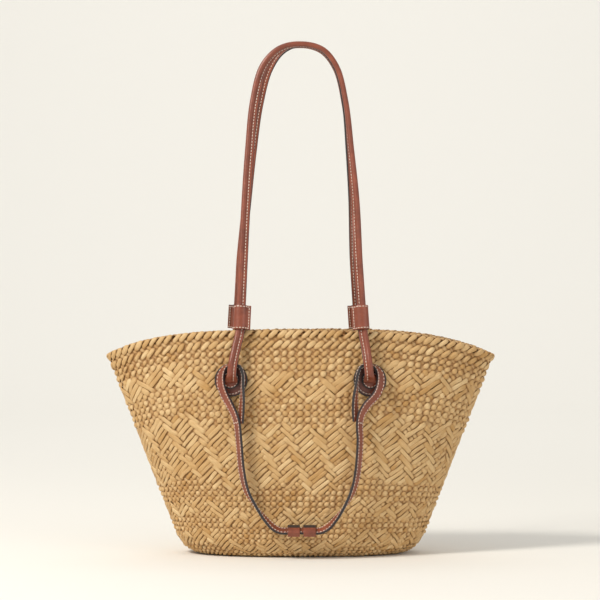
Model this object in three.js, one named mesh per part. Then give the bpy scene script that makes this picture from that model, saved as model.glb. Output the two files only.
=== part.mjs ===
// A beach bag plaited from palm leaf, with two long rolled-leather shoulder handles and two short
// flat-leather hand straps, one of each on the front and on the back.
//
// Millimetres. The front of the bag faces -Y, +X is to the right as the front is looked at, and
// +Z is up. The origin is on the floor, under the middle of the base.
//
// The basket is one plaited skin that turns up from an oval base into a flared wall. Each end of
// a shoulder handle is sewn to a round leather patch on the wall. Each hand strap ends in an eye,
// which is trapped between the handle and the patch, so it swings there. A leather sleeve slides
// on each leg of the shoulder handles, and two small loops slide on each hand strap.
import * as THREE from 'three';

// The basket's skin. Length runs along X and depth along Y.
const SKIN = 4; // thickness of two crossing leaves
const BASE_HALF_LENGTH = 101; // edge of the flat base, where the skin starts to turn up
const BASE_HALF_DEPTH = 50;
const CORNER_RISE = 17.5; // height at which the turned-up corner becomes the wall
const CORNER_LENGTH_REACH = 25.6; // how far the corner carries the skin out, at the ends
const CORNER_DEPTH_REACH = 17; // and at the front and back
const CORNER_TURN = THREE.MathUtils.degToRad(68.7);
const CORNER_SHARE = 0.125; // share of the skin's way up that the corner takes
const WALL_FLARE = 0.39; // growth of the half length for each millimetre of height
const WALL_FOOT = CORNER_RISE + SKIN / 2;
const MOUTH_HALF_DEPTH = 59;
const BELLY = 8; // how far the middle of the wall stands out from a straight front
const RIM_HEIGHT = 230; // middle of the skin at the middle of the front
const RIM_DROP = 25; // how much lower the rim is at the ends of the bag
const RIM_DROP_POWER = 3.2;
const RIM_TWIST = 2; // one diagonal of the mouth stands this much higher than the other
const BASE_ROUNDNESS = 2.2; // 2 is an ellipse, more is squarer, less is pointed
const MOUTH_ROUNDNESS = 1.8;
const RIM_RADIUS = 2.7; // the leaves folded over the edge
const RIM_BITE = 0.6; // how far the fold comes down over the wall's own edge
const WALL_TOP_WAY = 0.994; // how far up its own way the wall meets the fold
const ROUND_STEPS = 56;
const FIT_GAP = 0.4; // between pieces that are sewn face to face

// The round patches, the tabs sewn on them, and the backing rounds inside the wall.
const PATCH = { x: 70.2, z: 181.3, radius: 17, thickness: 2.2 };
const TAB = { radius: 9.2, thickness: 1.8 };
const BACKING = { radius: 13, thickness: 1.6 };
const PATCH_BOTTOM = SKIN / 2 + FIT_GAP; // heights above the middle of the skin
const PATCH_TOP = PATCH_BOTTOM + PATCH.thickness;
const TAB_BOTTOM = PATCH_TOP + FIT_GAP;
const TAB_TOP = TAB_BOTTOM + TAB.thickness;

// A shoulder handle is a leather strip rolled round a cord and sewn along the inside of the arch.
const ROLL = { radius: 2.8, bore: 2, cord: 1.7, seamReach: 4, seamHalf: 0.95, sides: 8 };
const ROLL_CENTRE = -ROLL.seamReach / 2; // the roll and its seam are centred together

// A hand strap is two layers of flat leather.
const STRAP = { width: 9, thickness: 3, lowest: 29.5, hang: 2.6 };

const SLEEVE = { length: 25, boreWidth: 11.2, boreDepth: 7, wall: 1.5, flap: 3.2, flapHalf: 1.4 };
const SLEEVE_LIFT = 1; // how high the sleeve rests above the start of the straight leg
const LOOP = { length: 12.6, wall: 1.4, play: 0.7, left: -6.8, right: 9.2 };

const PALM = { color: 0xcda772, roughness: 0.7, metalness: 0 };
const TAN_LEATHER = { color: 0x8f4b34, roughness: 0.42, metalness: 0 };
const DARK_LEATHER = { color: 0x5d3226, roughness: 0.5, metalness: 0 };
const COTTON_CORD = { color: 0xd8cdb8, roughness: 0.9, metalness: 0 };

const bag = new THREE.Group();

function addMesh(name, geometry, finish, parent = bag) {
  const mesh = new THREE.Mesh(geometry, new THREE.MeshStandardMaterial(finish));
  mesh.name = name;
  parent.add(mesh);
  return mesh;
}

function indexedGeometry(points, faces) {
  const positions = points.flatMap((point) => point.toArray());
  return new THREE.BufferGeometry()
    .setAttribute('position', new THREE.Float32BufferAttribute(positions, 3))
    .setIndex(faces);
}

// ---- The basket's skin ------------------------------------------------------------------------

// How far along X and Y a rounded outline lies at an angle, for half sizes of 1.
function outline(angle, roundness) {
  const bend = (value) => Math.sign(value) * Math.abs(value) ** (2 / roundness);
  return [bend(Math.cos(angle)), bend(Math.sin(angle))];
}

function rimHeight(alongX, alongY) {
  return RIM_HEIGHT - RIM_DROP * Math.abs(alongX) ** RIM_DROP_POWER + RIM_TWIST * alongX * alongY;
}

function wallHalfLength(z) {
  return BASE_HALF_LENGTH + CORNER_LENGTH_REACH + (z - CORNER_RISE) * WALL_FLARE;
}

function wallHalfDepth(climb) {
  const foot = BASE_HALF_DEPTH + CORNER_DEPTH_REACH;
  return foot + (MOUTH_HALF_DEPTH - foot) * climb + BELLY * 4 * climb * (1 - climb);
}

function wallRoundness(climb) {
  return BASE_ROUNDNESS + (MOUTH_ROUNDNESS - BASE_ROUNDNESS) * climb;
}

// The middle of the skin: way is 0 at the edge of the flat base and 1 at the rim.
function skinPoint(angle, way) {
  if (way < CORNER_SHARE) {
    const turn = (CORNER_TURN * way) / CORNER_SHARE;
    const reach = Math.sin(turn) / Math.sin(CORNER_TURN);
    const rise = (1 - Math.cos(turn)) / (1 - Math.cos(CORNER_TURN));
    const [alongX, alongY] = outline(angle, BASE_ROUNDNESS);
    return new THREE.Vector3(
      (BASE_HALF_LENGTH + CORNER_LENGTH_REACH * reach) * alongX,
      (BASE_HALF_DEPTH + CORNER_DEPTH_REACH * reach) * alongY,
      SKIN / 2 + CORNER_RISE * rise,
    );
  }
  const climb = (way - CORNER_SHARE) / (1 - CORNER_SHARE);
  const [alongX, alongY] = outline(angle, wallRoundness(climb));
  const z = WALL_FOOT + (rimHeight(alongX, alongY) - WALL_FOOT) * climb;
  return new THREE.Vector3(wallHalfLength(z) * alongX, wallHalfDepth(climb) * alongY, z);
}

function skinNormal(angle, way) {
  const step = 0.01;
  const low = Math.max(0, way - step);
  const high = Math.min(1, way + step);
  const round = skinPoint(angle + step, way).sub(skinPoint(angle - step, way));
  const up = skinPoint(angle, high).sub(skinPoint(angle, low));
  return round.cross(up).normalize();
}

const roundAngles = Array.from({ length: ROUND_STEPS }, (_, k) => (k / ROUND_STEPS) * 2 * Math.PI);

// A closed ring made of closed sections, one at each angle round the bag.
function ringGeometry(sectionAt) {
  const sections = roundAngles.map(sectionAt);
  const count = sections[0].length;
  const faces = [];
  for (let s = 0; s < ROUND_STEPS; s++) {
    const next = (s + 1) % ROUND_STEPS;
    for (let k = 0; k < count; k++) {
      const [a, b] = [s * count + k, s * count + ((k + 1) % count)];
      const [c, d] = [next * count + k, next * count + ((k + 1) % count)];
      faces.push(a, c, b, b, c, d);
    }
  }
  return indexedGeometry(sections.flat(), faces);
}

function basketWall() {
  const inCorner = [0, 1 / 3, 2 / 3].map((share) => share * CORNER_SHARE);
  const ways = [...inCorner, CORNER_SHARE, 0.3, 0.48, 0.66, 0.83, WALL_TOP_WAY];
  const side = (angle, way, offset) =>
    skinPoint(angle, way).addScaledVector(skinNormal(angle, way), offset);
  return ringGeometry((angle) => [
    ...ways.map((way) => side(angle, way, SKIN / 2)),
    ...ways.toReversed().map((way) => side(angle, way, -SKIN / 2)),
  ]);
}

function rimFold() {
  const sides = 8;
  return ringGeometry((angle) => {
    const centre = skinPoint(angle, 1).setComponent(2, skinPoint(angle, 1).z + RIM_RADIUS - RIM_BITE);
    const out = skinNormal(angle, 1).setZ(0).normalize();
    return Array.from({ length: sides }, (_, k) => {
      const turn = (k / sides) * 2 * Math.PI;
      const rise = new THREE.Vector3(0, 0, RIM_RADIUS * Math.sin(turn));
      return centre.clone().addScaledVector(out, RIM_RADIUS * Math.cos(turn)).add(rise);
    });
  });
}

function basketBase() {
  const edge = roundAngles.map((angle) => {
    const [alongX, alongY] = outline(angle, BASE_ROUNDNESS);
    const halfLength = BASE_HALF_LENGTH - FIT_GAP;
    const halfDepth = BASE_HALF_DEPTH - FIT_GAP;
    return new THREE.Vector2(halfLength * alongX, halfDepth * alongY);
  });
  return new THREE.ExtrudeGeometry(new THREE.Shape(edge), { depth: SKIN, bevelEnabled: false });
}

// ---- Patches ----------------------------------------------------------------------------------

// Depth of the middle of the skin in front of the bag's centre plane, at a place on the wall.
function wallDepth(x, z) {
  const alongX = x / wallHalfLength(z);
  const climb = (z - WALL_FOOT) / (rimHeight(alongX, 0) - WALL_FOOT);
  const roundness = wallRoundness(climb);
  return wallHalfDepth(climb) * (1 - Math.abs(alongX) ** roundness) ** (1 / roundness);
}

// A group whose own +Z leaves the wall squarely at a patch. face is -1 in front and 1 behind.
function patchPlace(side, face) {
  const [x, z, step] = [side * PATCH.x, PATCH.z, 2];
  const leanX = (wallDepth(x + step, z) - wallDepth(x - step, z)) / (2 * step);
  const leanZ = (wallDepth(x, z + step) - wallDepth(x, z - step)) / (2 * step);
  const normal = new THREE.Vector3(-leanX, face, -leanZ).normalize();
  const place = new THREE.Group();
  place.position.set(x, face * wallDepth(x, z), z);
  place.quaternion.setFromUnitVectors(new THREE.Vector3(0, 0, 1), normal);
  bag.add(place);
  return place;
}

function leatherRound({ radius, thickness }, bottom) {
  const disc = new THREE.CylinderGeometry(radius, radius, thickness, 28);
  return disc.rotateX(Math.PI / 2).translate(0, 0, bottom + thickness / 2);
}

// ---- Straps swept along a route ---------------------------------------------------------------

// Sweeps a section, with its outline and bores drawn anticlockwise, along a curve that runs from
// left to right. The section's +Y stays as near to the bag's +Y as it can, and its +X is square to
// that, then both are turned about the curve by turnAt(share of the way along), in radians.
function sweep(curve, steps, section, turnAt = () => 0) {
  const { shape: rim, holes: bores } = section.extractPoints();
  const holes = bores.map((bore) => bore.toReversed());
  const loops = [rim, ...holes];
  const corners = loops.flat();
  const points = [];
  for (let s = 0; s <= steps; s++) {
    const centre = curve.getPoint(s / steps);
    const along = curve.getTangent(s / steps);
    const level = new THREE.Vector3(0, 1, 0).addScaledVector(along, -along.y).normalize();
    const turned = level.applyAxisAngle(along, turnAt(s / steps));
    const inward = turned.clone().cross(along);
    for (const { x, y } of corners) {
      points.push(centre.clone().addScaledVector(inward, x).addScaledVector(turned, y));
    }
  }
  const faces = [];
  let first = 0;
  for (const loop of loops) {
    for (let s = 0; s < steps; s++) {
      for (let k = 0; k < loop.length; k++) {
        const [a, b] = [first + k, first + ((k + 1) % loop.length)].map((i) => i + s * corners.length);
        const [c, d] = [a + corners.length, b + corners.length];
        faces.push(a, b, c, b, d, c);
      }
    }
    first += loop.length;
  }
  const last = steps * corners.length;
  for (const [a, b, c] of THREE.ShapeUtils.triangulateShape(rim, holes)) {
    faces.push(c, b, a, last + a, last + b, last + c);
  }
  return indexedGeometry(points, faces);
}

// ---- Shoulder handles -------------------------------------------------------------------------

// The foot of a handle stands on its tab, and its end face is on the axis it swings about. From
// there the leg rises over the eye of the hand strap and over the rim.
const FOOT_Z = 178;
const FOOT_OUT = TAB_TOP + FIT_GAP + ROLL.radius;
const EYE_Z = 196.6;
const EYE_OUT = PATCH_TOP + 2 * FIT_GAP + STRAP.width / 2; // middle of the strap behind the leg
const OVER_EYE_OUT = EYE_OUT + STRAP.width / 2 + 2 * FIT_GAP + ROLL.radius;
const LEG_LOW = 232; // the sleeves slide on a straight stretch of each leg
const LEG_HIGH = 306;
const LEG_LOW_DEPTH = wallDepth(63, 229) + 10.2;
const LEG_HIGH_DEPTH = 50.5;

function straightLeg(low, high) {
  const shares = [0, 0.25, 0.5, 0.75, 1];
  return shares.map((share) => low.map((value, k) => value + (high[k] - value) * share));
}

// Where a leg leaves its tab: both handles are the same here.
const LEG_FOOT = [
  [-70.2, 70.2, wallDepth(PATCH.x, FOOT_Z) + FOOT_OUT, FOOT_Z],
  [-69.8, 69.8, wallDepth(PATCH.x, FOOT_Z) + OVER_EYE_OUT - 3.2, 186],
  [-68.9, 68.7, wallDepth(PATCH.x, EYE_Z) + OVER_EYE_OUT, EYE_Z],
];

// Each row is x on the left, x on the right, depth from the centre plane, height, then how far the
// seam has rolled over towards the other handle, in degrees, on the left and on the right.
const FRONT_HANDLE = [
  ...LEG_FOOT,
  [-65.2, 66.2, wallDepth(66, 215) + 13.5, 215],
  ...straightLeg([-61.56, 63.45, LEG_LOW_DEPTH, LEG_LOW], [-58.6, 58.8, LEG_HIGH_DEPTH, LEG_HIGH]),
  [-55.9, 56.4, 38, 366, 0, 40],
  [-52.6, 51.8, 27, 418, 0, 62],
  [-47.6, 46.2, 17, 470, 0, 74],
  [-38, 37.1, 10.5, 506, 25, 80],
  [-21.5, 22.5, 7.2, 524, 50, 80],
];
const BACK_HANDLE = [
  ...LEG_FOOT,
  [-68.6, 65.6, wallDepth(67, 215) + 13.5, 215],
  ...straightLeg([-67.84, 62.06, LEG_LOW_DEPTH, LEG_LOW], [-63.4, 57.2, LEG_HIGH_DEPTH, LEG_HIGH]),
  [-57, 54.8, 38, 366, 0, 40],
  [-51.2, 50.6, 27, 418, 0, 62],
  [-43.6, 45.4, 17, 470, 0, 74],
  [-33, 36.2, 10.5, 506, 25, 80],
  [-18.5, 21.5, 7.2, 524, 50, 80],
];
const HANDLE_TOP = [0, 6, 529.5];
const TOP_TURN = 80;

function handleCurve(rows, face) {
  const left = rows.map(([x, , depth, z]) => new THREE.Vector3(x, face * depth, z));
  const right = rows.map(([, x, depth, z]) => new THREE.Vector3(x, face * depth, z));
  const top = new THREE.Vector3(HANDLE_TOP[0], face * HANDLE_TOP[1], HANDLE_TOP[2]);
  return new THREE.CatmullRomCurve3([...left, top, ...right.toReversed()], false, 'centripetal');
}

const handleSteps = (curve) => 2 * (curve.points.length - 1);

// The turn in radians at a share of the way along a row of turns in degrees.
function turnAlong(turns, share) {
  const place = share * (turns.length - 1);
  const low = Math.min(Math.floor(place), turns.length - 2);
  return THREE.MathUtils.degToRad(turns[low] + (turns[low + 1] - turns[low]) * (place - low));
}

function handleTurn(rows, face) {
  const left = rows.map(([, , , , turn = 0]) => turn);
  const right = rows.map(([, , , , , turn = 0]) => turn);
  const turns = [...left, TOP_TURN, ...right.toReversed()];
  return (share) => -face * turnAlong(turns, share);
}

function roundPath(Kind, radius) {
  const points = Array.from({ length: ROLL.sides }, (_, k) => {
    const turn = ((k + 0.5) / ROLL.sides) * 2 * Math.PI;
    return new THREE.Vector2(ROLL_CENTRE + radius * Math.cos(turn), radius * Math.sin(turn));
  });
  return new Kind(points);
}

function rolledLeather(curve, turnAt) {
  const roll = roundPath(THREE.Shape, ROLL.radius).getPoints().slice(0, ROLL.sides);
  const seamEnd = ROLL_CENTRE + ROLL.radius + ROLL.seamReach;
  const seam = [new THREE.Vector2(seamEnd, -ROLL.seamHalf), new THREE.Vector2(seamEnd, ROLL.seamHalf)];
  const section = new THREE.Shape([...roll, ...seam]);
  section.holes.push(roundPath(THREE.Path, ROLL.bore));
  return sweep(curve, handleSteps(curve), section, turnAt);
}

function handleCord(curve, turnAt) {
  return sweep(curve, handleSteps(curve), roundPath(THREE.Shape, ROLL.cord), turnAt);
}

// ---- Sleeves on the shoulder handles ----------------------------------------------------------

// A strip of leather wrapped round the leg, with its two ends sewn together as a flat flap that
// points along the group's +X. The leg runs through it along the group's +Z.
function sleeve() {
  const [boreHalf, boreHalfDepth] = [SLEEVE.boreWidth / 2, SLEEVE.boreDepth / 2];
  const [half, halfDepth] = [boreHalf + SLEEVE.wall, boreHalfDepth + SLEEVE.wall];
  const shape = new THREE.Shape();
  shape.moveTo(0, -halfDepth);
  shape.quadraticCurveTo(half * 0.8, -halfDepth, half, -SLEEVE.flapHalf);
  shape.lineTo(half + SLEEVE.flap, -SLEEVE.flapHalf);
  shape.lineTo(half + SLEEVE.flap, SLEEVE.flapHalf);
  shape.lineTo(half, SLEEVE.flapHalf);
  shape.quadraticCurveTo(half * 0.8, halfDepth, 0, halfDepth);
  shape.absellipse(0, 0, half, halfDepth, Math.PI / 2, 1.5 * Math.PI, false);
  const bore = new THREE.Path();
  bore.absellipse(0, 0, boreHalf, boreHalfDepth, 0, 2 * Math.PI, true);
  shape.holes.push(bore);
  const options = { depth: SLEEVE.length, bevelEnabled: false, curveSegments: 6 };
  return new THREE.ExtrudeGeometry(shape, options);
}

// A group at the foot of a leg's straight stretch, with its +Z along the leg.
function sleevePlace(rows, side, face, flapSide) {
  const at = (height) => {
    const [left, right, depth, z] = rows.find((row) => row[3] === height);
    return new THREE.Vector3(side < 0 ? left : right, face * depth, z);
  };
  const up = at(LEG_HIGH).sub(at(LEG_LOW)).normalize();
  const flap = new THREE.Vector3(flapSide, 0, 0).addScaledVector(up, -flapSide * up.x).normalize();
  const place = new THREE.Group();
  place.position.copy(at(LEG_LOW)).addScaledVector(up, SLEEVE_LIFT);
  const axes = new THREE.Matrix4().makeBasis(flap, up.clone().cross(flap), up);
  place.quaternion.setFromRotationMatrix(axes);
  bag.add(place);
  return place;
}

// ---- Hand straps ------------------------------------------------------------------------------

// Each half of a hand strap, from the cut end of its eye, up the inner branch, behind the handle,
// down the outer branch, and along the leg to the middle. Each row is how far out from the middle,
// height, the turn of the strap about its own length in degrees, and how much nearer to the wall
// it lies. The same lean of the leather has opposite turns on its way up the inner branch and on
// its way down the outer one. The right eye has slipped inwards, and crosses in front of its tab.
const BOTTOM_TURN = -32;
const STRAP_BOTTOM = [
  [36.2, 42.2, -18, 0],
  [27.8, 33.4, -30, 0],
  [20, STRAP.lowest, BOTTOM_TURN, 0],
  [10, STRAP.lowest, BOTTOM_TURN, 0],
];
const STRAP_LEFT = [
  [61.3, 138, -40, 2.3],
  [60.2, 148, -36, 2],
  [59, 162, -22, 1],
  [58.8, 176, -8, 0],
  [58.7, 188, 0, 0],
  [62.1, 195.8, 0, 0],
  [69.8, EYE_Z, 0, 0],
  [75.8, 194.8, 16, -0.6],
  [80.2, 188, 44, -1.4],
  [81, 178.5, 58, -1.8],
  [77.8, 168, 58, -1.6],
  [71.6, 156.6, 50, -0.6],
  [66.6, 146.4, 42, 0],
  [64.2, 138, 40, 0],
  [62.2, 120, 36, 0],
  [59.4, 90, 36, 0],
  [54.2, 69, 28, 0],
  [46, 55.2, 8, 0],
  ...STRAP_BOTTOM,
];
const STRAP_RIGHT = [
  [56.6, 140, -44, 2.4],
  [55.6, 150, -40, 2],
  [55.4, 163, -26, 1],
  [57, 177, -10, 0],
  [58.4, 188.5, 0, 0],
  [62.2, 195.8, 0, 0],
  [69.8, EYE_Z, 0, 0],
  [75.8, 194.8, 14, -0.6],
  [80.2, 189, 42, -1.4],
  [81.2, 179.5, 57, -2],
  [77.4, 168, 60, -2.4],
  [67.6, 157, 58, -2],
  [61.8, 147.6, 48, -0.4],
  [59.8, 138, 42, 0],
  [60.2, 120.7, 36, 0],
  [57.6, 88, 36, 0],
  [52.8, 69, 28, 0],
  [45.4, 55, 8, 0],
  ...STRAP_BOTTOM,
];

function strapDepth(x, z) {
  const hanging = wallDepth(0, 100) + SKIN / 2 + STRAP.hang + STRAP.width / 2;
  const sewn = wallDepth(x, z) + EYE_OUT;
  return hanging + (sewn - hanging) * THREE.MathUtils.smoothstep(z, 120, 190);
}

const STRAP_ROWS = [
  ...STRAP_LEFT.map(([out, ...rest]) => [-out, ...rest]),
  [0, STRAP.lowest, BOTTOM_TURN, 0],
  ...STRAP_RIGHT.toReversed(),
];

const STRAP_TURNS = STRAP_ROWS.map(([, , turn]) => turn);

function handStrap(face) {
  const [halfThickness, halfWidth] = [STRAP.thickness / 2, STRAP.width / 2];
  const section = new THREE.Shape([
    new THREE.Vector2(-halfThickness, -halfWidth),
    new THREE.Vector2(halfThickness, -halfWidth),
    new THREE.Vector2(halfThickness, halfWidth),
    new THREE.Vector2(-halfThickness, halfWidth),
  ]);
  const points = STRAP_ROWS.map(
    ([x, z, , nearer]) => new THREE.Vector3(x, face * (strapDepth(x, z) - nearer), z),
  );
  const curve = new THREE.CatmullRomCurve3(points, false, 'centripetal');
  return sweep(curve, 2 * (points.length - 1), section, (share) => face * turnAlong(STRAP_TURNS, share));
}

// A short rectangular tube of leather round the lowest, straight stretch of a hand strap.
function strapLoop() {
  const rectangle = (Kind, halfThickness, halfWidth) =>
    new Kind([
      new THREE.Vector2(-halfThickness, -halfWidth),
      new THREE.Vector2(halfThickness, -halfWidth),
      new THREE.Vector2(halfThickness, halfWidth),
      new THREE.Vector2(-halfThickness, halfWidth),
    ]);
  const [innerThickness, innerWidth] = [STRAP.thickness / 2 + LOOP.play, STRAP.width / 2 + LOOP.play];
  const shape = rectangle(THREE.Shape, innerThickness + LOOP.wall, innerWidth + LOOP.wall);
  shape.holes.push(rectangle(THREE.Path, innerThickness, innerWidth));
  const options = { depth: LOOP.length, bevelEnabled: false };
  return new THREE.ExtrudeGeometry(shape, options)
    .translate(0, 0, -LOOP.length / 2)
    .rotateY(Math.PI / 2);
}

// ---- The bag put together ---------------------------------------------------------------------

addMesh('basket_wall', basketWall(), PALM);
addMesh('basket_base', basketBase(), PALM);
addMesh('rim_fold', rimFold(), PALM);

// Which way each sleeve's flap points: they turn freely on the round handles.
const FACES = [
  { name: 'front', face: -1, rows: FRONT_HANDLE, flaps: { left: 1, right: -1 } },
  { name: 'back', face: 1, rows: BACK_HANDLE, flaps: { left: -1, right: -1 } },
];
const SIDES = [
  { name: 'left', side: -1 },
  { name: 'right', side: 1 },
];

for (const { name: faceName, face, rows, flaps } of FACES) {
  const curve = handleCurve(rows, face);
  const turnAt = handleTurn(rows, face);
  addMesh(`shoulder_handle_${faceName}`, rolledLeather(curve, turnAt), TAN_LEATHER);
  addMesh(`handle_cord_${faceName}`, handleCord(curve, turnAt), COTTON_CORD);
  addMesh(`hand_strap_${faceName}`, handStrap(face), TAN_LEATHER);
  for (const { name: sideName, side } of SIDES) {
    const where = `${faceName}_${sideName}`;
    const patch = patchPlace(side, face);
    const backingBottom = -SKIN / 2 - 2 * FIT_GAP - BACKING.thickness;
    addMesh(`patch_${where}`, leatherRound(PATCH, PATCH_BOTTOM), DARK_LEATHER, patch);
    addMesh(`handle_tab_${where}`, leatherRound(TAB, TAB_BOTTOM), TAN_LEATHER, patch);
    addMesh(`backing_${where}`, leatherRound(BACKING, backingBottom), DARK_LEATHER, patch);
    const leg = sleevePlace(rows, side, face, flaps[sideName]);
    addMesh(`sleeve_${where}`, sleeve(), TAN_LEATHER, leg);
    const loop = addMesh(`strap_loop_${where}`, strapLoop(), TAN_LEATHER);
    loop.position.set(LOOP[sideName], face * strapDepth(0, STRAP.lowest), STRAP.lowest);
    loop.rotation.x = face * THREE.MathUtils.degToRad(BOTTOM_TURN);
  }
}

export default bag;
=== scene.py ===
import math

import bpy
import numpy as np
from mathutils import Matrix, Vector


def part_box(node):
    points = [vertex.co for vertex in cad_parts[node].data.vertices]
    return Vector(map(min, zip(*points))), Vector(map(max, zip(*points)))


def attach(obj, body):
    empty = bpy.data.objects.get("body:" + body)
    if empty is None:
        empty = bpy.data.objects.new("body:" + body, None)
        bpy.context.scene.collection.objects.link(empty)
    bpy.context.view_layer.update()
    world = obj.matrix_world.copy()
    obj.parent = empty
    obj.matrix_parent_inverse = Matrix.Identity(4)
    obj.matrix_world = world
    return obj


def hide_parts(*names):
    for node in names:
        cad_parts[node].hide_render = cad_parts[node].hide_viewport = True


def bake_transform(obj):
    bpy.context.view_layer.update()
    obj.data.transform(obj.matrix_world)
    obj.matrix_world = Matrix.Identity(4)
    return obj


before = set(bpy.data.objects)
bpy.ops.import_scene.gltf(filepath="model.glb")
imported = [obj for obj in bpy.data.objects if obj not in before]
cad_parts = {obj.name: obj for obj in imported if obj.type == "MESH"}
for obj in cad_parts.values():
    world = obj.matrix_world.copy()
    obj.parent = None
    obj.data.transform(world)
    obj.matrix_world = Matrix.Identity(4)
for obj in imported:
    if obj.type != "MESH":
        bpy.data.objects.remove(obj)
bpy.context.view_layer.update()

# ---- The plaited basket --------------------------------------------------------------------------
# The basket is one piece of plaiting in date-palm leaf. Two families of leaf strips cross on the
# bias, and the plait changes from tight over-one-under-one to long floats in bands. At the mouth
# the strips fold over the edge and tuck down inside.

MM = 0.001
FACES = {"front": -1, "back": 1}
SIDES = ("left", "right")
chance = np.random.default_rng(7)


def smooth(low, high, value):
    share = np.clip((value - low) / (high - low), 0, 1)
    return share * share * (3 - 2 * share)


def unit(vectors):
    return vectors / np.linalg.norm(vectors, axis=-1, keepdims=True)


# The skin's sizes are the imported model's own, in metres.
SKIN = 4 * MM
FIT_GAP = 0.4 * MM
BASE_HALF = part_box("basket_base")[1].xy + Vector((FIT_GAP, FIT_GAP))
CORNER_RISE = 17.5 * MM
CORNER_REACH = (25.6 * MM, 17 * MM)
CORNER_TURN = math.radians(68.7)
CORNER_SHARE = 0.125
WALL_FLARE = 0.39
WALL_FOOT = CORNER_RISE + SKIN / 2
MOUTH_HALF_DEPTH = 59 * MM
BELLY = 8 * MM
RIM_HEIGHT = 230 * MM
RIM_DROP = 25 * MM
RIM_DROP_POWER = 3.2
RIM_TWIST = 2 * MM
BASE_ROUNDNESS = 2.2
MOUTH_ROUNDNESS = 1.8


def outline(angle, roundness):
    across, deep = np.cos(angle), np.sin(angle)
    power = 2 / roundness
    return np.sign(across) * np.abs(across) ** power, np.sign(deep) * np.abs(deep) ** power


def wall_half_length(z):
    return BASE_HALF.x + CORNER_REACH[0] + (z - CORNER_RISE) * WALL_FLARE


def wall_half_depth(climb):
    foot = BASE_HALF.y + CORNER_REACH[1]
    return foot + (MOUTH_HALF_DEPTH - foot) * climb + BELLY * 4 * climb * (1 - climb)


def wall_roundness(climb):
    return BASE_ROUNDNESS + (MOUTH_ROUNDNESS - BASE_ROUNDNESS) * climb


def rim_height(along_x, along_y):
    return RIM_HEIGHT - RIM_DROP * np.abs(along_x) ** RIM_DROP_POWER + RIM_TWIST * along_x * along_y


def skin_row(angle, way):
    """The middle of the skin all the way round, at one way up: 0 at the base's edge, 1 at the rim."""
    if way < CORNER_SHARE:
        turn = CORNER_TURN * way / CORNER_SHARE
        reach = math.sin(turn) / math.sin(CORNER_TURN)
        rise = (1 - math.cos(turn)) / (1 - math.cos(CORNER_TURN))
        along_x, along_y = outline(angle, BASE_ROUNDNESS)
        return np.stack([
            (BASE_HALF.x + CORNER_REACH[0] * reach) * along_x,
            (BASE_HALF.y + CORNER_REACH[1] * reach) * along_y,
            np.full_like(angle, SKIN / 2 + CORNER_RISE * rise),
        ], axis=-1)
    climb = (way - CORNER_SHARE) / (1 - CORNER_SHARE)
    along_x, along_y = outline(angle, wall_roundness(climb))
    z = WALL_FOOT + (rim_height(along_x, along_y) - WALL_FOOT) * climb
    return np.stack([wall_half_length(z) * along_x, wall_half_depth(climb) * along_y, z], axis=-1)


# The skin as a grid of points: COLUMNS evenly spaced round each level, and one row every
# ROW_STEP of a plait row. A plait row is as high as LEAN times the distance between strips.
STRIPS = 104
LEAN = 0.853
COLUMNS = STRIPS * 8
ROW_STEP = 0.125
UNDER_ROWS = 1


def even_row(way):
    angle = np.linspace(0, 2 * np.pi, 3601)
    points = skin_row(angle, way)
    lengths = np.linalg.norm(np.diff(points, axis=0), axis=1)
    walked = np.concatenate([[0], np.cumsum(lengths)])
    wanted = np.linspace(0, walked[-1], COLUMNS, endpoint=False)
    return skin_row(np.interp(wanted, walked, angle), way), walked[-1]


ways = np.linspace(0, 1, 121)
levels = [even_row(way) for way in ways]
level_points = np.stack([points for points, _ in levels])
level_rounds = np.array([length for _, length in levels])
climbs = np.linalg.norm(np.diff(level_points, axis=0), axis=2).mean(axis=1)
row_heights = LEAN * level_rounds / STRIPS
row_counts = np.concatenate([[0], np.cumsum(climbs / ((row_heights[1:] + row_heights[:-1]) / 2))])
ROWS = int(round(row_counts[-1]))
row_counts *= ROWS / row_counts[-1]

row_places = np.arange(0, ROWS + ROW_STEP / 2, ROW_STEP)
grid = np.stack([
    np.stack([np.interp(row_places, row_counts, level_points[:, column, axis]) for axis in range(3)], axis=-1)
    for column in range(COLUMNS)
], axis=1)
under = [grid[0] - (grid[1] - grid[0]) * step for step in range(int(UNDER_ROWS / ROW_STEP), 0, -1)]
grid = np.concatenate([np.stack(under), grid])
round_way = np.roll(grid, -1, axis=1) - np.roll(grid, 1, axis=1)
up_way = np.gradient(grid, axis=0)
normals = unit(np.cross(round_way, up_way))


def on_grid(table, around, row):
    """Reads a table of the skin between its points. around counts strips, row counts plait rows."""
    column = np.mod(around, STRIPS) * COLUMNS / STRIPS
    level = np.clip((row + UNDER_ROWS) / ROW_STEP, 0, len(table) - 1.001)
    c0, r0 = np.floor(column).astype(int), np.floor(level).astype(int)
    cf, rf = (column - c0)[..., None], (level - r0)[..., None]
    c0, c1 = c0 % COLUMNS, (c0 + 1) % COLUMNS
    low = table[r0, c0] * (1 - cf) + table[r0, c1] * cf
    high = table[r0 + 1, c0] * (1 - cf) + table[r0 + 1, c1] * cf
    return low * (1 - rf) + high * rf


# Above the last row the strips turn over the edge and go down inside for a finger's width.
FOLD_RADIUS = 2 * MM
FOLD_SWELL = 1 * MM
FOLD_ROWS = 2
TOP_ROW_HEIGHT = row_heights[-1]


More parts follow.
